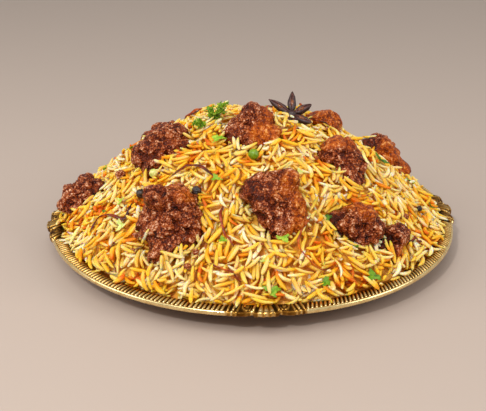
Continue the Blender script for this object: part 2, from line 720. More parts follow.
def makeCore():
    turns, rings = ground["coreTurns"], ground["coreRings"]
    radii = ground["coreRadius"] * np.linspace(1, 0.01, rings)[:, None]
    angles = np.linspace(0, 2 * pi, turns, endpoint=False)[None, :]
    xs, ys = radii * np.cos(angles), radii * np.sin(angles)
    places = np.stack([xs, ys, xs * 0], -1)
    relief = 0.5 + 0.3 * softWaves(3, 3.2, 40)(places) + 0.3 * softWaves(4, 6.0, 30)(places)
    edge = smoothStep(radii / ground["coreRadius"], 0.93, 1.0)
    depth = ground["coreDepth"] * sample(steepness, xs, ys, ground["cell"])
    zs = sample(goal, xs, ys, ground["cell"]) - depth + ground["coreRelief"] * (relief - 0.5)
    zs = zs * (1 - edge) + np.minimum(zs, ground["coreEdge"]) * edge
    points = np.concatenate([np.stack([xs, ys, zs], -1).reshape(-1, 3), [[0, 0, zs[-1].mean()]]])
    faces = [gridFaces(rings, turns), fanFaces((rings - 1) * turns, turns, len(points) - 1)]
    marks = {"relief": np.append(np.clip(relief, 0, 1).ravel(), 0.5)}
    return addPiece("rice_core", points, faces, coreMaterial(), ["rice"], marks)


def startMap():
    # the tray's own surface and the core, before any grain is laid
    core = goal - ground["coreDepth"] * steepness
    core = np.where(fromMiddle < ground["coreRadius"] - 2, core, 0.0)
    return np.maximum(core, np.interp(fromMiddle, *np.array(ground["trayTop"]).T))


grainParts = ("x", "y", "z", "bearing", "reach", "rise", "radius", "bend", "sag")
alongSteps = np.linspace(-1, 1, 9)  # where along a grain it may be held up
leftEnds, rightEnds = np.array([(i, j) for i in range(4) for j in range(5, 9)]).T
pairSpan = alongSteps[rightEnds] - alongSteps[leftEnds]
acrossSteps = np.array([-0.75, 0.0, 0.75])
stampAlong = np.linspace(-1, 1, 27)[:, None]
stampAcross = np.array([-0.9, -0.5, 0.0, 0.5, 0.9])[None, :]
stampRadius = (1 - np.abs(stampAlong) ** 3) ** 0.5
coverSteps = np.array([-0.95, -0.5, 0.0, 0.5, 0.95])[None, :]  # where along a grain its cover is read


def cellsAt(xs, ys):
    column = ((xs + ground["half"]) / ground["cell"] + 0.5).astype(int)
    row = ((ys + ground["half"]) / ground["cell"] + 0.5).astype(int)
    return np.clip(row, 0, mapX.shape[0] - 1), np.clip(column, 0, mapX.shape[1] - 1)


def restOn(tops, grain, bearings, reaches):
    # lays the grain on what is under it, the way round that lets it lie lowest: on the line
    # through two supports that holds up its middle
    along = alongSteps[None, :, None]
    across = acrossSteps[None, None, :]
    c, s = np.cos(bearings)[:, None, None], np.sin(bearings)[:, None, None]
    sway = grain["bend"] * (1 - along ** 2) + across * grain["radius"]
    far = along * reaches[:, None, None]
    found = tops[cellsAt(grain["x"] + far * c - sway * s, grain["y"] + far * s + sway * c)]
    found = (found + grain["radius"] * np.sqrt(1 - across ** 2)).max(axis=2)
    low, high = found[:, leftEnds], found[:, rightEnds]
    held = (low * alongSteps[rightEnds] - high * alongSteps[leftEnds]) / pairSpan
    best = held.argmax(axis=1)
    middles = np.maximum(held[np.arange(len(bearings)), best], found[:, 4])
    lowest = middles.argmin()
    pair = best[lowest]
    rise = (high[lowest, pair] - low[lowest, pair]) / pairSpan[pair]
    return lowest, middles[lowest] - rice["sink"], rise, middles[lowest] - found[lowest, 4]


def stamp(heights, grain):
    # raises the height map to the top of a laid grain
    c, s = cos(grain["bearing"]), sin(grain["bearing"])
    radius = grain["radius"] * stampRadius
    sway = grain["bend"] * (1 - stampAlong ** 2) + stampAcross * radius
    xs = grain["x"] + stampAlong * grain["reach"] * c - sway * s
    ys = grain["y"] + stampAlong * grain["reach"] * s + sway * c
    zs = grain["z"] + stampAlong * grain["rise"] + radius * np.sqrt(1 - stampAcross ** 2)
    np.maximum.at(heights, cellsAt(xs, ys), zs)


def fillLimit():
    # how high the middle of a grain may be over each spot
    lumps = softWaves(9, rice["clumpSize"], 24, 2)(np.stack([mapX, mapY], -1))
    fill = rice["overfill"] + rice["clumpRise"] * lumps
    fill = fill + rice["edgeRise"] * smoothStep(fromMiddle, *rice["edge"])
    limit = goal + fill * steepness
    for x, y, size, rise in rice["mounds"]:
        limit = limit + rise * np.exp(-((mapX - x) ** 2 + (mapY - y) ** 2) / size ** 2)
    return limit


def noRestMap():
    # where no stray grain stays on a chunk
    slopeAlongY, slopeAlongX = np.gradient(meatTop, ground["cell"])
    x, y, reach = rice["bareMeat"]
    low = meatTop < goal + rice["stayOver"]
    steep = np.hypot(slopeAlongX, slopeAlongY) > rice["staySlope"]
    return low | steep | (np.hypot(mapX - x, mapY - y) < reach)


def layGrains(heights):
    chance = np.random.default_rng(rice["seed"])
    swirl = softWaves(8, rice["swirlSize"], dimensions=2)
    bitsFrom = rice["laid"]
    standingFrom = bitsFrom + rice["bits"]
    strayFrom = standingFrom + rice["standing"]
    total = strayFrom + rice["onMeat"]
    far = rice["outermost"]
    spots = chance.uniform(-far, far, (total, rice["spots"], 2))
    spots[strayFrom:] *= rice["strayReach"]
    lengths = np.clip(chance.normal(*rice["length"], total), rice["shortest"], rice["longest"])
    broken = chance.random(total) < rice["broken"]
    lengths = np.where(broken, lengths * chance.uniform(*rice["brokenLength"], total), lengths)
    lengths[bitsFrom:standingFrom] *= chance.uniform(*rice["bitLength"], rice["bits"])
    bitSpots = chance.uniform(-far, far, (rice["bits"], rice["bitSpots"], 2))
    radii = chance.normal(*rice["radius"], total)
    bends = chance.normal(0, rice["bend"], total)
    leaning = chance.random(total) < rice["leaningShare"]
    turns = chance.uniform(0, pi, (total, rice["bearings"]))
    limit = fillLimit()
    noRest = noRestMap()
    over, under = rice["clear"]
    inMeat = (meatTop > goal + over) & (meatUnder < goal - under)
    # what a grain may rest on of the chunks: not much over the rice, unless it leans on them
    tuckedTop = np.where(meatUnder < goal, np.minimum(meatTop, limit - rice["tuck"]), 0.0)
    leaningTop = np.where(meatUnder < goal, np.minimum(meatTop, goal + rice["leaning"]), 0.0)
    laid = []
    for i in range(total):
        isBit = bitsFrom <= i < standingFrom
        stands = standingFrom <= i < strayFrom
        onMeat = i >= strayFrom
        if i == standingFrom:
            settled = heights.copy()  # what sticks out rests on this, and not on each other
        tried = bitSpots[i - bitsFrom] if isBit else spots[i]
        cells = cellsAt(*tried.T)
        barred = (noRest if onMeat else inMeat)[cells] | (np.hypot(*tried.T) > far)
        if stands or onMeat:
            need = chance.random(len(tried))
        else:
            need = (heights[cells] - limit[cells]) / steepness[cells]
        best = np.where(barred, np.inf, need).argmin()
        if barred[best]:
            continue
        x, y = tried[best]
        bearings = turns[i].copy()
        bearings[0] = swirl(tried[best]) * rice["swirl"] + chance.normal(0, rice["stray"])
        if stands or onMeat:
            bearings = bearings[1:2]
        steep = slopeX[cells][best] * np.cos(bearings) + slopeY[cells][best] * np.sin(bearings)
        reaches = lengths[i] / 2 / np.sqrt(1 + steep ** 2)
        grain = dict(x=x, y=y, radius=radii[i], bend=bends[i])
        meat = meatTop if onMeat else leaningTop if leaning[i] else tuckedTop
        tops = np.maximum(settled if i >= standingFrom else heights, meat)
        way, grain["z"], rise, gap = restOn(tops, grain, bearings, reaches)
        extra = rice["bitOver"] if isBit else rice["leaningOver"] if leaning[i] else 0
        if not onMeat and grain["z"] > limit[cells][best] + extra:
            continue
        reach = reaches[way]
        rise = float(np.clip(rise, -reach * rice["steepest"], reach * rice["steepest"]))
        rise += reach * chance.normal(0, rice["tilt"])
        if stands:
            tilt = chance.uniform(*rice["standingTilt"]) * chance.choice([-1, 1])
            rise += reach * tilt
            grain["z"] += abs(tilt) * reach * rice["standingLift"]
        angle = np.arctan2(rise, reach)
        grain["bearing"] = bearings[way]
        grain["sag"] = -rice["sag"][0] * min(gap, rice["sag"][1])
        grain["reach"] = lengths[i] / 2 * cos(angle)
        grain["rise"] = lengths[i] / 2 * sin(angle)
        stamp(heights, grain)
        laid.append([grain[part] for part in grainParts])
    for start, end in np.array(rice["placed"]):
        middle, (ahead, aside, up) = (start + end) / 2, (end - start) / 2
        bend = chance.normal(0, rice["placedBend"])
        laid.append([*middle, np.arctan2(aside, ahead), np.hypot(ahead, aside), up, rice["placedRadius"],
                     bend, rice["placedSag"]])
    print("grains laid:", len(laid))
    return np.array(laid)


def grainPoints(grains, rings, sides, chance):
    # the points and faces of many grains, and where along its grain each point is
    x, y, z, bearing, reach, rise, radius, bend, sag = grains.T[:, :, None, None]
    count = len(grains)
    along = (np.cos(np.linspace(0, pi, rings + 2)[1:-1]) * 0.985)[None, :, None]
    around = np.linspace(0, 2 * pi, sides, endpoint=False)[None, None, :]
    fuller = 1 + 0.1 * along * chance.choice([-1, 1], (count, 1, 1))  # one end is a little thicker
    thick = radius * (1 - np.abs(along) ** 3.0) ** 0.6 * fuller
    curl = (sag + chance.normal(0, rice["curl"], (count, 1, 1))) * (1 - along ** 2)
    half = np.hypot(reach, rise)
    side = thick * np.cos(around) + bend * (1 - along ** 2)
    up = thick * rice["flatness"] * np.sin(around) + curl
    flat = reach / half * along * half - rise / half * up
    px = x + flat * np.cos(bearing) - side * np.sin(bearing)
    py = y + flat * np.sin(bearing) + side * np.cos(bearing)
    pz = z + rise / half * along * half + reach / half * up
    body = np.stack([px, py, pz], -1).reshape(count, -1, 3)
    way = np.concatenate([reach * np.cos(bearing), reach * np.sin(bearing), rise], -1)
    middle = np.concatenate([x, y, z], -1)
    points = np.concatenate([body, middle + way, middle - way], axis=1)
    shares = np.concatenate([np.repeat(along.ravel(), sides), [1.0, -1.0]])
    offsets = (np.arange(count) * points.shape[1])[:, None, None]
    faces = [(block[None] + offsets).reshape(-1, block.shape[1]) for block in tubeFaces(rings, sides)]
    return points, shares, faces


def stainTone(points, shares, kind, depth, chance):
    # the colour of each point of some grains
    count = len(points)
    stained = chance.normal(kind["stained"], stains["betweenGrains"], (count, 1))
    stained = stained + chance.normal(0, stains["alongGrain"], (count, 1)) * shares
    stained = stained + stains["patches"] * softWaves(19, stains["patchSize"])(points)
    stained = stained + stains["below"] * np.clip(depth / 2, 0, 1)[:, None]
    places, colours = zip(*stains["colours"])
    channels = np.array([colourOf(*colour) for colour in colours]).T
    tone = np.stack([np.interp(stained, places, channel) for channel in channels], -1)
    return np.clip(tone * chance.normal(1, stains["brightness"], (count, 1, 1)), 0, 1)


def makeRice():
    heights = startMap()
    grains = layGrains(heights)
    byHand = len(rice["placed"])
    x, y, z, bearing, reach, rise = grains[:, :6].T[:, :, None]
    far = coverSteps * reach
    cover = heights[cellsAt(x + far * np.cos(bearing), y + far * np.sin(bearing))]
    depth = (cover - z - coverSteps * rise).min(axis=1)
    depth[-byHand:] = 0.0
    grains, depth = grains[depth < rice["buried"]], depth[depth < rice["buried"]]
    chance = np.random.default_rng(stains["seed"])
    places = grains[:, :3]
    patch = softWaves(17, stains["bigPatch"])(places)
    patch = patch + stains["smallShare"] * softWaves(18, stains["smallPatch"])(places)
    pick = stains["together"] * patch + stains["apart"] * chance.uniform(0, 1, len(grains))
    pick = pick + stains["deeper"] * np.clip(depth, 0, 2)
    pick[-byHand:] = -2.0  # these are white
    order = pick.argsort().argsort() / len(grains)
    start = 0.0
    for name, kind in grainKinds.items():
        mine = (order >= start) & (order < start + kind["share"])
        start += kind["share"]
        parts = []
        for some, detail in ((mine & (depth > rice["deep"]), rice["deepDetail"]),
                             (mine & (depth <= rice["deep"]), rice["detail"])):
            body, shares, faces = grainPoints(grains[some], *detail, chance)
            tone = stainTone(body, shares, kind, depth[some], chance)
            parts.append((body.reshape(-1, 3), faces, [tone.reshape(-1, 3)]))
        print(name, "has", int(mine.sum()), "grains")
        material = riceMaterial(name.replace("_", " ") + " grains")
        addJoined(name, parts, material, ["stain"], ["rice"])
    return heights


makeCore()
foodTop = makeRice()
openRice = (fromMiddle < 120) & (meatTop < 0)
print("rice made, over the packed heap by", round(float((foodTop - goal)[openRice].mean()), 2), "mm")


# the brass tray: flat foot, flared border, ribbed band, rolled lip and four cast ornaments

tray = dict(
    ornaments=(-86.5, 3.0, 94.0, 190.0),  # which way round from +X each ornament is, in degrees
    ornamentHalf=9.8, ornamentSteps=130, ornamentReach=140,
    pitch=2.7, stepsPerRib=6,
    ribDepth=0.5, ribSlant=0.8, bandInner=131.6, bandOuter=139.0, bandHeight=(15.2, 15.1), bandCrown=1.0,
    bandRings=12, lipRings=7, lipSize=(0.95, 1.6), lipMiddle=(139.4, 14.1), lipTurn=(140, -75),
    lobes=((0.0, 3.2, 1.0), (-7.0, 2.7, 0.55), (7.0, 2.7, 0.55)), lobeReach=2.9, lobeRise=0.6,
    reliefRise=1.5, lipRelief=0.9, ornamentBed=0.3,
    fanFrom=121, fanHalf=4.0, fluteWidth=2.6, sideFlute=6.4,
    posts=((15.8, 1.0, 0.8), (18.4, 1.0, 1.0), (21.6, 1.1, 0.9)),  # how far aside, half width, height
    scroll=(11.4, 136.0), scrollSize=3.6, scrollPitch=2.2,
    # radius, height, share of the ornaments' outline and dirt: the floor and border, and the underside
    inner=((97, 1.6, 0.0, 0.6), (118, 8.2, 0.0, 0.6), (130.4, 14.0, 0.0, 0.6), (131.1, 14.9, 0.05, 0.4),
           (131.4, 15.0, 0.1, 0.4)),
    under=((138.4, 12.9, 0.8, 0.35), (134.0, 12.0, 0.35, 0.35), (128.0, 10.1, 0.0, 0.6),
           (110.0, 3.0, 0.0, 0.6), (103.0, 1.0, 0.0, 0.6), (97.0, 0.0, 0.0, 0.6)),
    colours=((0.05, (240, 214, 152)), (0.35, (192, 144, 66)), (0.65, (108, 68, 20)), (1.0, (42, 27, 8))),
    # smears and dents start with the size of their noise; rough is for clean brass and for dirt
    tarnishSize=7.0, tarnish=(-0.12, 0.22), rough=(0.2, 0.5), smears=(1.2, 0.0, 0.12), dents=(1.4, 0.03),
)


def brassMaterial():
    brass = Shader("old polished brass")
    hollow = brass.attribute("hollow")
    tarnish = brass.span(brass.noise(tray["tarnishSize"], 4.0, 0.6), 0.35, 0.75, *tray["tarnish"])
    brass.feed("Base Color", brass.ramp(brass.math("ADD", hollow, tarnish), *tray["colours"]))
    rough = brass.span(hollow, 0.2, 1.0, *tray["rough"])
    brass.feed("Roughness", brass.math("ADD", rough, brass.uneven(*tray["smears"], 3.0)))
    brass.set(Metallic=1.0)
    size, depth = tray["dents"]
    brass.bump(brass.noise(size), depth)
    return brass.material


def trayProfile():
    # radius, height, share of the ornaments' outline, dirt and what it is, from the middle of the
    # floor out over the lip and back under to the middle of the foot
    rows = [(*row, "plain") for row in tray["inner"]]
    first, last = tray["bandHeight"]
    for share in np.linspace(0, 1, tray["bandRings"]):
        radius = tray["bandInner"] + share * (tray["bandOuter"] - tray["bandInner"])
        height = first + (last - first) * share ** 1.5 + tray["bandCrown"] * sin(pi * share ** 0.8)
        rows.append((radius, height, 0.15 + 0.8 * share ** 1.5, 0.5 * (1 - share) ** 1.5, "band"))
    middle, high = tray["lipMiddle"]
    wide, tall = tray["lipSize"]
    for angle in np.radians(np.linspace(*tray["lipTurn"], tray["lipRings"])):
        rows.append((middle + wide * cos(angle), high + tall * sin(angle), 1.0, 0.05, "lip"))
    return rows + [(*row, "plain") for row in tray["under"]]


def trayAngles():
    # fine steps in the ornaments, and whole ribs between them; also how far it is to the nearest
    # ornament, and where the ribs are in their round
    angles, offsets, phases = [], [], []
    half = tray["ornamentHalf"]
    middles = tray["ornaments"]
    for middle, following in zip(middles, middles[1:] + (middles[0] + 360,)):
        inOrnament = np.linspace(-half, half, tray["ornamentSteps"], endpoint=False)
        run = following - middle - 2 * half
        ribs = round(radians(run) * tray["bandOuter"] / tray["pitch"])
        rounds = np.arange(ribs * tray["stepsPerRib"]) / tray["stepsPerRib"]
        between = half + run * rounds / ribs
        angles += [middle + inOrnament, middle + between]
        offsets += [inOrnament, np.where(rounds < ribs / 2, between, between - run - 2 * half)]
        phases += [np.zeros(len(inOrnament)), rounds]
    return np.radians(np.concatenate(angles)), np.concatenate(offsets), np.concatenate(phases)


def lobeShare(offset):
    # how far the outline bulges out here; each lobe has a middle, a half width and a height
    return np.max([high * np.sqrt(np.maximum(0, 1 - ((offset - middle) / half) ** 2))
                   for middle, half, high in tray["lobes"]], axis=0)


def ornamentRelief(along, radius):
    # flutes that fan out in the middle; beyond them on each side a flute, a scroll and three posts
    fanned = along * 15 / (radius - tray["fanFrom"])
    far = np.abs(fanned)
    fluted = 0.45 + 0.55 * np.abs(np.cos(fanned * pi / tray["fluteWidth"])) ** 0.7
    fan = smoothStep(tray["fanHalf"] - far, 0.0, 0.7) * fluted
    flutes = smoothStep(tray["fluteWidth"] / 2 - np.abs(far - tray["sideFlute"]), 0.0, 0.9)
    for place, half, height in tray["posts"]:
        aside = np.abs(along) - place - 0.3 * (radius - 137)
        flutes = np.maximum(flutes, height * smoothStep(half - np.abs(aside), 0.0, 0.7 * half))
    left, up = np.abs(along) - tray["scroll"][0], radius - tray["scroll"][1]
    distance = np.hypot(left, up)
    scroll = 0.5 + 0.5 * np.cos(2 * pi * distance / tray["scrollPitch"] - np.arctan2(up, left))
    scroll = (0.25 + 0.6 * scroll) * smoothStep(tray["scrollSize"] - distance, 0, 0.6)
    return np.maximum(np.maximum(fan, flutes), np.maximum(scroll, tray["ornamentBed"]))


def makeTray():
    rows = trayProfile()
    angles, offsets, phases = trayAngles()
    along = np.radians(offsets) * tray["ornamentReach"]
    lobes = lobeShare(offsets)
    inOrnament = smoothStep(tray["ornamentHalf"] - np.abs(offsets), 0.0, 0.8)
    rings, hollows = [], []  # hollows say how much dirt there is
    for radius, height, share, dirt, kind in rows:
        r = radius + tray["lobeReach"] * lobes * share
        z = height + tray["lobeRise"] * lobes * share
        relief = ornamentRelief(along, r) * inOrnament
        hollow = np.full(len(angles), dirt)
        if kind == "band":
            across = (radius - tray["bandInner"]) / (tray["bandOuter"] - tray["bandInner"])
            fade = smoothStep(across, 0.0, 0.12) * smoothStep(1 - across, 0.0, 0.08)
            rib = 0.5 + 0.5 * np.cos(2 * pi * (phases + tray["ribSlant"] * across))
            ribbed = rib ** 1.2 * (1 - inOrnament)
            z = z + fade * (ribbed - 0.5 * (1 - inOrnament)) * tray["ribDepth"] * 2
            z = z + relief * tray["reliefRise"] * (0.3 + 0.7 * fade)
            between = np.maximum(0.85 - ribbed - 0.7 * relief, 0.0) * (0.25 + 0.75 * fade)
            hollow = between + hollow + 0.3 * inOrnament * (1 - relief)
        elif kind == "lip":
            z = z + relief * tray["lipRelief"]
            hollow = hollow + inOrnament * (0.15 + 0.6 * (1 - relief))
        rings.append(np.stack([r * np.cos(angles), r * np.sin(angles), z], -1))
        hollows.append(hollow)
    count = len(angles)
    total = len(rows) * count
    points = np.concatenate(rings + [[[0, 0, rows[0][1]], [0, 0, 0]]])
    faces = [gridFaces(len(rows), count)[:, ::-1], fanFaces(0, count, total),
             fanFaces(total - count, count, total + 1, True)]
    marks = {"hollow": np.append(np.concatenate(hollows), [0.5, 0.35])}
    return addPiece("brass_tray", points, faces, brassMaterial(), ["tray"], marks)


makeTray()
print("tray made")


# star anise: seven boat-shaped pods round a hub, some with their seed showing

star = dict(
    seed=12,
    middle=(27.0, 2.0, 88.0), bearing=-95.0, elevation=48.0,
    # which way each pod points, in degrees, and its length
    pods=((27, 15.0), (91, 16.5), (149, 19.0), (203, 8.5), (246, 8.0), (288, 8.5), (331, 16.0)),
    width=3.0, depth=3.4, wall=0.55, opening=0.55, rise=2.0, podRings=18, podSteps=13, hub=2.0,
    knob=(3.2, 3.2, 2.4), kernel=(3.0, 1.25, 1.5), kernelPlace=(0.52, 0.9),
    podColours=((0.0, (20, 8, 8)), (0.4, (48, 20, 17)), (0.75, (90, 44, 33)), (1.0, (140, 84, 60))),
    seedColours=((0.3, (92, 44, 18)), (0.7, (150, 88, 40))),
    # bumps are the size and depth of the wrinkles; the lines make a pod paler and smoother
    lineSize=1.6, lineTone=0.55, edgeTone=0.45, rough=(0.55, 0.32), bumps=(0.7, 0.25), seedRough=0.15,
)


def facingAxes(bearing, elevation):
    # right, up and out of something that faces this way
    bearing, elevation = radians(bearing), radians(elevation)
    out = np.array([cos(bearing) * cos(elevation), sin(bearing) * cos(elevation), sin(elevation)])
    right = np.array([-sin(bearing), cos(bearing), 0.0])
    return np.stack([right, np.cross(out, right), out])


def podPoints(direction, length, chance):
    # rings round a boat-shaped pod: down its outside from one lip to the other, and back inside
    stations = np.linspace(0.0, 1.0, star["podRings"])
    width = star["width"] * np.sin(pi * stations ** 0.85) ** 0.75 * (1 - 0.15 * stations) + 0.25
    depth = star["depth"] * np.sin(pi * np.clip(stations * 0.9 + 0.08, 0, 1)) ** 0.8 + 0.2
    gap = star["opening"] * chance.uniform(0.5, 1.2) * np.sin(pi * stations) ** 0.7
    angles = np.radians(np.linspace(65, -245, star["podSteps"]))
    points = []
    for station, half, deep, gape in zip(stations, width, depth, gap):
        outside = np.stack([half * np.cos(angles), deep * (np.sin(angles) * 0.75 - 0.3)], -1)
        outside[0, 0], outside[-1, 0] = gape, -gape
        outside[0, 1] = outside[-1, 1] = deep * 0.55
        shrink = max(half - star["wall"], 0.05) / half
        inside = outside[::-1] * [shrink * 0.92, 0.8] + [0, -0.05 * deep]
        along = star["hub"] + station * (length - star["hub"])
        rise = star["rise"] * station ** 2
        points.append([(along, x, z + rise) for x, z in np.concatenate([outside, inside])])
    points = np.array(points)
    points[..., 1] += chance.normal(0, 0.4) * np.sin(stations * pi)[:, None]
    return turnedFlat(points, radians(direction))


def starMaterials():
    pod = Shader("star anise pod")
    lines = pod.noise(star["lineSize"], 4.0, 0.65)
    edge = pod.attribute("edge")
    tone = pod.span(lines, 0.3, 0.7, 0.0, star["lineTone"])
    tone = pod.math("ADD", tone, pod.math("MULTIPLY", edge, star["edgeTone"]))
    pod.feed("Base Color", pod.ramp(tone, *star["podColours"]))
    pod.feed("Roughness", pod.span(lines, 0.3, 0.7, *star["rough"]))
    size, depth = star["bumps"]
    pod.bump(pod.noise(size, 4.0), depth)
    seed = Shader("star anise seed")
    seed.feed("Base Color", seed.ramp(seed.noise(2.0), *star["seedColours"]))
    seed.set(Roughness=star["seedRough"])
    return pod.material, seed.material


def makeStar():
    chance = np.random.default_rng(star["seed"])
    axes = facingAxes(star["bearing"], star["elevation"])
    podMaterial, seedMaterial = starMaterials()
    wrinkle = softWaves(31, 2.2, 30)
    lip = np.zeros(2 * star["podSteps"])
    lip[star["podSteps"]:] = 0.5
    lip[[0, star["podSteps"] - 1, star["podSteps"], -1]] = 1.0
    ways, ballFaces, _ = ballParts(4)
    far, high = star["kernelPlace"]
    pods, seeds = [], []
    for direction, length in star["pods"]:
        rings = podPoints(direction, length, chance).reshape(-1, 3)
        rings = rings * (1 + 0.02 * wrinkle(rings)[:, None]) @ axes + star["middle"]
        pods.append((rings, [gridFaces(star["podRings"], len(lip))], [np.tile(lip, star["podRings"])]))
        seed = turnedFlat(ways * star["kernel"] + [length * far, 0.0, high], radians(direction))
        seeds.append((seed @ axes + star["middle"], [ballFaces], []))
    knob = ways * star["knob"] * (1 + 0.12 * wrinkle(ways * 3)[:, None]) @ axes + star["middle"]
    pods.append((knob, [ballFaces], [0.15]))
    addJoined("star_anise_pods", pods, podMaterial, ["edge"], ["star_anise"])
    addJoined("star_anise_seeds", seeds, seedMaterial, (), ["star_anise"])


makeStar()
print("star anise made")


# garnish: fried onions, herbs, peppercorns, peas, seeds and crumbs, all resting on the grains

smoothTop = foodTop.copy()
for _ in range(10):
    smoothTop = neighbours(smoothTop) / 4


def valueAt(grid, x, y):
    return float(grid[cellsAt(np.array([x]), np.array([y]))][0])


def topAt(x, y):
    return valueAt(smoothTop, x, y)


def surfaceAxes(x, y, turn):
    # two ways along the surface here, and the way straight out of it
    lean = [-np.clip(valueAt(slope, x, y), -1.2, 1.2) for slope in (slopeX, slopeY)]
    out = unit(np.array(lean + [1.0]))
    right = np.array([cos(turn), sin(turn), 0.0])
    right = unit(right - out * (right @ out))
    return np.stack([right, np.cross(out, right), out])


def throughPoints(path, steps):
    # a smooth curve through the path's points
    path = np.array(path, float)
    ends = np.concatenate([[2 * path[0] - path[1]], path, [2 * path[-1] - path[-2]]])
    places = np.linspace(0, len(path) - 1.0001, steps)
    index = places.astype(int)
    t = (places - index)[:, None]
    a, b, c, d = (ends[index + k] for k in range(4))
    bow = 2 * a - 5 * b + 4 * c - d
    return 0.5 * (2 * b + (c - a) * t + bow * t ** 2 + (3 * b - a - 3 * c + d) * t ** 3)


def strand(line, widths, thicks, twist, sides=8):
    # a flat strand with rounded edges along a line of points
    ahead = unitRows(np.gradient(line, axis=0))
    across = np.cross(np.array([0.0, 0.0, 1.0]), ahead)
    across /= np.maximum(np.linalg.norm(across, axis=1, keepdims=True), 1e-6)
    up = np.cross(ahead, across)
    c, s = np.cos(twist)[:, None], np.sin(twist)[:, None]
    across, up = across * c + up * s, up * c - across * s
    around = np.linspace(0, 2 * pi, sides, endpoint=False)[None, :, None]
    ring = (across[:, None] * (np.cos(around) * widths[:, None, None])
            + up[:, None] * (np.sin(around) * thicks[:, None, None]))
    points = (line[:, None] + ring).reshape(-1, 3)
    return np.concatenate([points, line[:1], line[-1:]]), tubeFaces(len(line), sides)


onions = dict(
    seed=44,
    width=0.85, thick=0.42, lift=2.3, steps=40, arch=1.6, twist=0.6,
    smoothing=12,  # rounds that make a strand bridge the small gaps between grains
    # how browned each is, and where it lies
    paths=[
        (0.35, [(-104, -63), (-99, -59), (-89, -65), (-80, -67), (-76, -59)]),
        (0.35, [(-52, -57), (-44, -55), (-38, -57), (-29, -62), (-18, -69)]),
        (0.2, [(-16, -82), (-19, -89), (-16, -98), (-10, -106)]),
        (0.2, [(-27, -114), (-15, -119), (-5, -123)]),
        (-0.05, [(37, -86), (28, -99), (32, -111), (39, -113), (48, -109)]),
        (0.3, [(98, -74), (104, -69), (110, -64)]),
    ],
    scattered=13, scatteredLength=(20, 34), scatteredReach=(35, 112), outermost=124,
    look=dict(
        colours=((0.1, (206, 104, 16)), (0.4, (146, 52, 6)), (0.7, (88, 24, 2)), (1.0, (40, 10, 2))),
        uneven=(2.5, 0.22), rough=(1.2, 0.22, 0.5), bumps=(0.8, 0.12),
        shader=dict(Specular_IOR_Level=0.3, Subsurface_Weight=0.1, Subsurface_Scale=0.001)),
)


def onionPaths(chance):
    paths = list(onions["paths"])
    while len(paths) < len(onions["paths"]) + onions["scattered"]:
        bearing, reach = chance.uniform(-0.35, pi + 0.35), chance.uniform(*onions["scatteredReach"])
        heading, bow = chance.uniform(0, 2 * pi), chance.normal(0, 0.5)
        stride = chance.uniform(*onions["scatteredLength"]) / 4
        path = [np.array([reach * cos(bearing), reach * sin(bearing)])]
        for _ in range(4):
            path.append(path[-1] + stride * np.array([cos(heading), sin(heading)]))
            heading += bow
        xs, ys = np.array(path).T
        cells = cellsAt(xs, ys)
        if (meatTop[cells] < goal[cells]).all() and max(np.hypot(xs, ys)) < onions["outermost"]:
            paths.append((chance.uniform(0.0, 0.35), path))
    return paths


def onionPart(dark, path, chance):
    flat = throughPoints(path, onions["steps"])
    share = np.linspace(0, 1, len(flat))
    height = np.array([topAt(x, y) for x, y in flat])
    for _ in range(onions["smoothing"]):
        middle = (height[:-2] + 2 * height[1:-1] + height[2:]) / 4
        height = np.concatenate([height[:1], middle, height[-1:]])
    bow = np.sin(pi * share)
    arch = onions["arch"] * bow * chance.uniform(0.4, 1.2)
    line = np.column_stack([flat, height + onions["lift"] * (0.4 + 0.6 * bow) + arch])
    taper = np.clip(np.sin(pi * np.clip(share, 0.02, 0.98)) * 2.2, 0.15, 1.0)
    taper = taper * (1 + 0.2 * softWaves(60, 5.0)(line))
    widths = onions["width"] * chance.uniform(0.8, 1.25) * taper
    twist = onions["twist"] * softWaves(61, 14.0)(line) + chance.normal(0, 0.4)
    points, faces = strand(line, widths, onions["thick"] * taper, twist)
    browned = dark + 0.2 + 0.35 * np.abs(2 * share - 1) + 0.15 * softWaves(62, 7.0)(line)
    browned = np.append(np.repeat(browned, 8), [browned[0], browned[-1]])
    return points, faces, [browned]


def makeOnions():
    chance = np.random.default_rng(onions["seed"])
    parts = [onionPart(dark, path, chance) for dark, path in onionPaths(chance)]
    material = garnishMaterial("fried onion", "browned", onions["look"])
    addJoined("fried_onions", parts, material, ["browned"])


makeOnions()


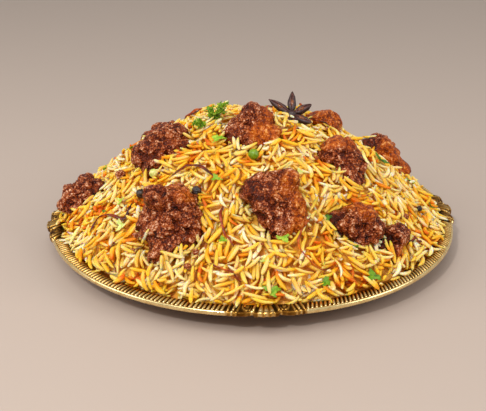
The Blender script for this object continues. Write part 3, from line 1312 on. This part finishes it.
herbs = dict(
    seed=71,
    # x, y, size across, how pale from 0 to 1
    leaves=[
        (-22, -35, 8, 0.55), (-85, -50, 7, 0.75), (-82, -72, 7, 0.95), (-22, -68, 6, 0.5),
        (-96, -52, 4, 0.15), (-17, -101, 5, 0.45), (88, -9, 9, 0.12), (19, -102, 7, 0.6),
        (62, -91, 7, 0.2), (73, -105, 8, 0.3), (44, -117, 7, 0.35), (12, -126, 9, 0.5),
        (8, -113, 5, 0.9), (30, -63, 5, 0.9), (124, -12, 5, 0.2), (47, -83, 5, 0.1),
        (113, 12, 6, 0.3), (-30, 22, 8, 0.3), (24, 44, 7, 0.5), (-88, 32, 8, 0.4),
        (66, 52, 7, 0.2), (-52, 70, 8, 0.6), (4, 96, 7, 0.3), (88, 74, 6, 0.5),
        (-18, 116, 7, 0.4), (-106, 20, 6, 0.5), (44, 112, 6, 0.7), (-72, 98, 6, 0.3),
        (100, 46, 6, 0.6), (10, 60, 6, 0.8),
    ],
    leafRings=7, leafSpokes=40, leafThick=0.28, leafLift=1.5,
    # where each sprig stands, which way and how far it leans over, its length and its branches
    sprigs=[
        dict(foot=(-32, -8), bearing=10, lean=38, length=21, branches=14),
        dict(foot=(-28, -12), bearing=200, lean=66, length=11, branches=10),
        dict(foot=(-30, -9), bearing=40, lean=50, length=13, branches=9),
        dict(foot=(30, 66), bearing=80, lean=66, length=17, branches=8),
        dict(foot=(-44, 76), bearing=110, lean=76, length=16, branches=8),
    ],
    # how thick and how pale a sprig's stem, branches and needles are
    stem=(0.42, 0.62), branch=(0.3, 0.5), needle=(0.42, (0.15, 0.6)),
    droop=0.16, branchFrom=0.28, branchDroop=0.8, needles=14, needleLength=(1.6, 3.2), needleCurve=0.35,
    look=dict(
        colours=((0.0, (38, 74, 4)), (0.4, (106, 150, 12)), (0.7, (164, 192, 50)), (1.0, (218, 222, 140))),
        uneven=(1.8, 0.18), rough=(1.0, 0.35, 0.6), bumps=(0.9, 0.2),
        shader=dict(Specular_IOR_Level=0.3, Subsurface_Weight=0.15, Subsurface_Scale=0.001,
                    Subsurface_Radius=(0.7, 1.0, 0.2))),
)


def leafPart(x, y, size, pale, chance):
    # a lobed leaf, crumpled and thin, on the surface at a slight tilt
    rings, spokes = herbs["leafRings"], herbs["leafSpokes"]
    angle = np.linspace(0, 2 * pi, spokes, endpoint=False)[None, :]
    share = np.linspace(0.08, 1, rings)[:, None]
    lobes = 0.62 + 0.26 * np.cos(3 * angle + 0.4) + 0.10 * np.cos(8 * angle + chance.uniform(0, 6))
    lobes = lobes + 0.05 * np.cos(13 * angle)
    reach = size * 0.68 * share * (1 + (lobes - 1) * share)
    px, py = reach * np.cos(angle) * 1.15, reach * np.sin(angle) * chance.uniform(0.7, 1.0)
    bumps = softWaves(int(chance.integers(900)), size * 0.5, 9, 2)(np.stack([px, py], -1))
    fold = np.abs(py) * chance.uniform(0.1, 0.6) + px ** 2 / size * chance.uniform(-0.5, 0.6)
    pz = bumps * size * 0.07 + fold
    sheet = np.stack([px, py, pz], -1)
    thick = herbs["leafThick"] / 2 * (1 - 0.6 * share)[..., None] * np.array([0, 0, 1.0])
    middle = np.array([[0, 0, pz[0].mean() + 0.1], [0, 0, pz[0].mean() - 0.1]])
    points = [(sheet + thick).reshape(-1, 3), (sheet - thick)[::-1].reshape(-1, 3), middle]
    axes = surfaceAxes(x, y, chance.uniform(0, 2 * pi))
    tilt = chance.normal(0, 0.3)
    c, s = cos(tilt), sin(tilt)
    turned = np.stack([axes[0] * c + axes[2] * s, axes[1], axes[2] * c - axes[0] * s])
    body = np.concatenate(points) @ turned + [x, y, topAt(x, y) + herbs["leafLift"]]
    veins = np.append(np.zeros(2 * rings * spokes), [0.2, 0.2]) + pale
    return body, tubeFaces(2 * rings, spokes), [veins]


def twigPart(line, thick, pale):
    taper = thick * (1 - 0.55 * np.linspace(0, 1, len(line)))
    points, faces = strand(line, taper * 1.25, taper, np.zeros(len(line)), 6)
    return points, faces, [pale]


def sprigParts(sprig, chance):
    # a bowed stem with branches that carry thin forked leaflets
    x, y = sprig["foot"]
    bearing, lean = radians(sprig["bearing"]), radians(sprig["lean"])
    foot = np.array([x, y, topAt(x, y) - 1.5])
    down = np.array([0, 0, -1.0])
    way = np.array([cos(bearing) * sin(lean), sin(bearing) * sin(lean), cos(lean)])
    share = np.linspace(0, 1, 12)[:, None]
    stem = foot + way * sprig["length"] * share + down * sprig["length"] * herbs["droop"] * share ** 2
    needleThick, needlePale = herbs["needle"]
    parts = [twigPart(stem, *herbs["stem"])]
    for number in range(sprig["branches"]):
        at = herbs["branchFrom"] + 0.7 * number / (sprig["branches"] - 1)
        side = unit(np.cross(way, chance.normal(size=3)))
        ahead = unit(way * 0.8 + side * (0.7 if number < sprig["branches"] - 1 else 0.1))
        length = sprig["length"] * (0.36 - 0.2 * at) + 1.0
        steps = np.linspace(0, 1, 7)[:, None]
        branch = stem[int(at * 11)] + ahead * length * steps + down * herbs["branchDroop"] * steps ** 2
        parts.append(twigPart(branch, *herbs["branch"]))
        for leaf in range(herbs["needles"]):
            start = branch[1 + leaf * 5 // (herbs["needles"] - 1)]
            pointing = unit(ahead + chance.normal(0, 0.6, 3))
            reach = chance.uniform(*herbs["needleLength"])
            curve = np.cross(pointing, chance.normal(size=3)) * herbs["needleCurve"]
            steps = np.linspace(0, 1, 6)[:, None]
            line = start + pointing * reach * steps + curve * steps ** 2
            parts.append(twigPart(line, needleThick, chance.uniform(*needlePale)))
    return parts


def makeHerbs():
    chance = np.random.default_rng(herbs["seed"])
    leaves = [leafPart(*leaf, chance) for leaf in herbs["leaves"]]
    material = garnishMaterial("fresh coriander and dill", "pale", herbs["look"])
    addJoined("coriander_leaves", leaves, material, ["pale"])
    sprigs = [part for sprig in herbs["sprigs"] for part in sprigParts(sprig, chance)]
    addJoined("herb_sprigs", sprigs, material, ["pale"])


makeHerbs()


spices = dict(
    seed=83,
    # x, y and radius, and how pale a pea is
    peppercorns=[(-71, -54, 3.0), (-34, -72, 3.1), (58, 62, 2.9), (-20, 66, 3.1), (112, -34, 1.9),
                 (-92, 58, 2.9)],
    peas=[(-63, -49, 2.7, 0.9), (1, -50, 3.4, 0.3), (-44, 92, 3.6, 0.4), (84, 66, 3.4, 0.5)],
    bigCrumbs=[(-88, -24, 3.2), (-70, -88, 2.2), (-38, -112, 2.2), (-33, -104, 2.0), (100, -50, 2.2),
               (30, 92, 3.2)],
    seeds=26, seedLength=(2.2, 2.9), seedGirth=0.62, seedSteps=14,
    crumbs=90, crumbSize=(0.7, 1.7), crumbReach=(16, 32), outermost=124,
    pepperWrinkle=0.055, peaWrinkle=0.03, crumbWrinkle=0.16,
    seedColours=((0.3, (74, 46, 18)), (0.7, (150, 108, 52))), seedRough=0.5, seedBumps=(0.5, 0.15),
    pepperLook=dict(
        colours=((0.2, (10, 8, 8)), (0.8, (62, 44, 34))), rough=(1.0, 0.18, 0.45), bumps=(0.6, 0.2)),
    peaLook=dict(
        colours=((0.0, (62, 98, 8)), (0.4, (116, 150, 20)), (0.75, (176, 190, 80)), (1.0, (226, 218, 140))),
        uneven=(2.4, 0.15), rough=(1.6, 0.2, 0.4), bumps=(0.9, 0.15),
        shader=dict(Subsurface_Weight=0.2, Subsurface_Scale=0.0015, Subsurface_Radius=(0.5, 1.0, 0.2))),
)


def seedMaterial():
    seed = Shader("cumin seed")
    seed.feed("Base Color", seed.ramp(seed.noise(0.9, 3.0), *spices["seedColours"]))
    seed.set(Roughness=spices["seedRough"])
    size, depth = spices["seedBumps"]
    seed.bump(seed.noise(size), depth)
    return seed.material


def lumpPart(ball, x, y, radius, wrinkle, chance, sink=0.3, flat=1.0):
    # a wrinkled round thing half settled into the grains, and how its wrinkles rise and fall
    ways, faces, _ = ball
    away = Vector(chance.uniform(0, 90, 3).tolist())
    height = np.array([noise.ridged_multi_fractal(Vector(way) * 1.7 + away, 1.0, 2.0, 3, 1.0, 2.0)
                       for way in ways.tolist()])
    height = (height - height.mean()) / (height.std() + 1e-6)
    body = ways * radius * (1 + wrinkle * height[:, None]) * [1, 1, flat]
    body = body + [x, y, topAt(x, y) + radius * (flat - sink)]
    return body, [faces], np.clip(0.5 + 0.25 * height, 0, 1)


def seedPart(chance):
    bearing, reach = chance.uniform(0, 2 * pi), 122 * chance.uniform(0, 1) ** 0.5
    x, y = reach * cos(bearing), reach * sin(bearing)
    axes = surfaceAxes(x, y, chance.uniform(0, 2 * pi))
    share = np.linspace(-1, 1, spices["seedSteps"])
    straight = np.zeros(len(share))
    line = np.column_stack([share * chance.uniform(*spices["seedLength"]), 0.5 * share ** 2, straight])
    line = line @ axes + [x, y, topAt(x, y) + 0.6]
    girth = spices["seedGirth"] * np.sqrt(np.maximum(1 - np.abs(share) ** 2.4, 0.02))
    points, faces = strand(line, girth, girth, straight)
    return points, faces, []


def crumbPlaces(chance, ball):
    # round the chunks, on the rice
    places = []
    while len(places) < spices["crumbs"] - len(spices["bigCrumbs"]):
        piece = chunks[int(chance.integers(len(chunks)))]
        middle = np.array(piece.bound_box).mean(axis=0) / mm
        bearing, reach = chance.uniform(0, 2 * pi), chance.uniform(*spices["crumbReach"])
        x, y = middle[0] + reach * cos(bearing), middle[1] + reach * sin(bearing)
        if np.hypot(x, y) < spices["outermost"] and valueAt(meatTop, x, y) < valueAt(goal, x, y):
            places.append((x, y, chance.uniform(*spices["crumbSize"]), ball))
    return places


def makeSpices():
    chance = np.random.default_rng(spices["seed"])
    pepper = garnishMaterial("black peppercorn", "crust", spices["pepperLook"])
    pea = garnishMaterial("green pea", "pale", spices["peaLook"])
    seed = seedMaterial()
    fineBall, roughBall = ballParts(4), ballParts(2)
    parts = []
    for x, y, radius in spices["peppercorns"]:
        body, faces, height = lumpPart(fineBall, x, y, radius, spices["pepperWrinkle"], chance)
        parts.append((body, faces, [height]))
    addJoined("peppercorns", parts, pepper, ["crust"])
    parts = []
    for x, y, radius, pale in spices["peas"]:
        body, faces, height = lumpPart(fineBall, x, y, radius, spices["peaWrinkle"], chance, 0.45)
        parts.append((body, faces, [pale + 0.1 * (height - 0.5)]))
    addJoined("green_peas", parts, pea, ["pale"])
    seeds = [seedPart(chance) for _ in range(spices["seeds"])]
    addJoined("cumin_seeds", seeds, seed)
    parts = []
    places = [(x, y, size, fineBall) for x, y, size in spices["bigCrumbs"]]
    for x, y, size, shape in places + crumbPlaces(chance, roughBall):
        flat = chance.uniform(0.6, 0.9)
        body, faces, height = lumpPart(shape, x, y, size, spices["crumbWrinkle"], chance, 0.45, flat)
        parts.append((body, faces, [0.25 + 0.6 * height, chance.uniform(0, 0.4)]))
    addJoined("masala_crumbs", parts, meatMaterial, ["crust", "glaze"])


makeSpices()
print("garnish made")


print("finished")
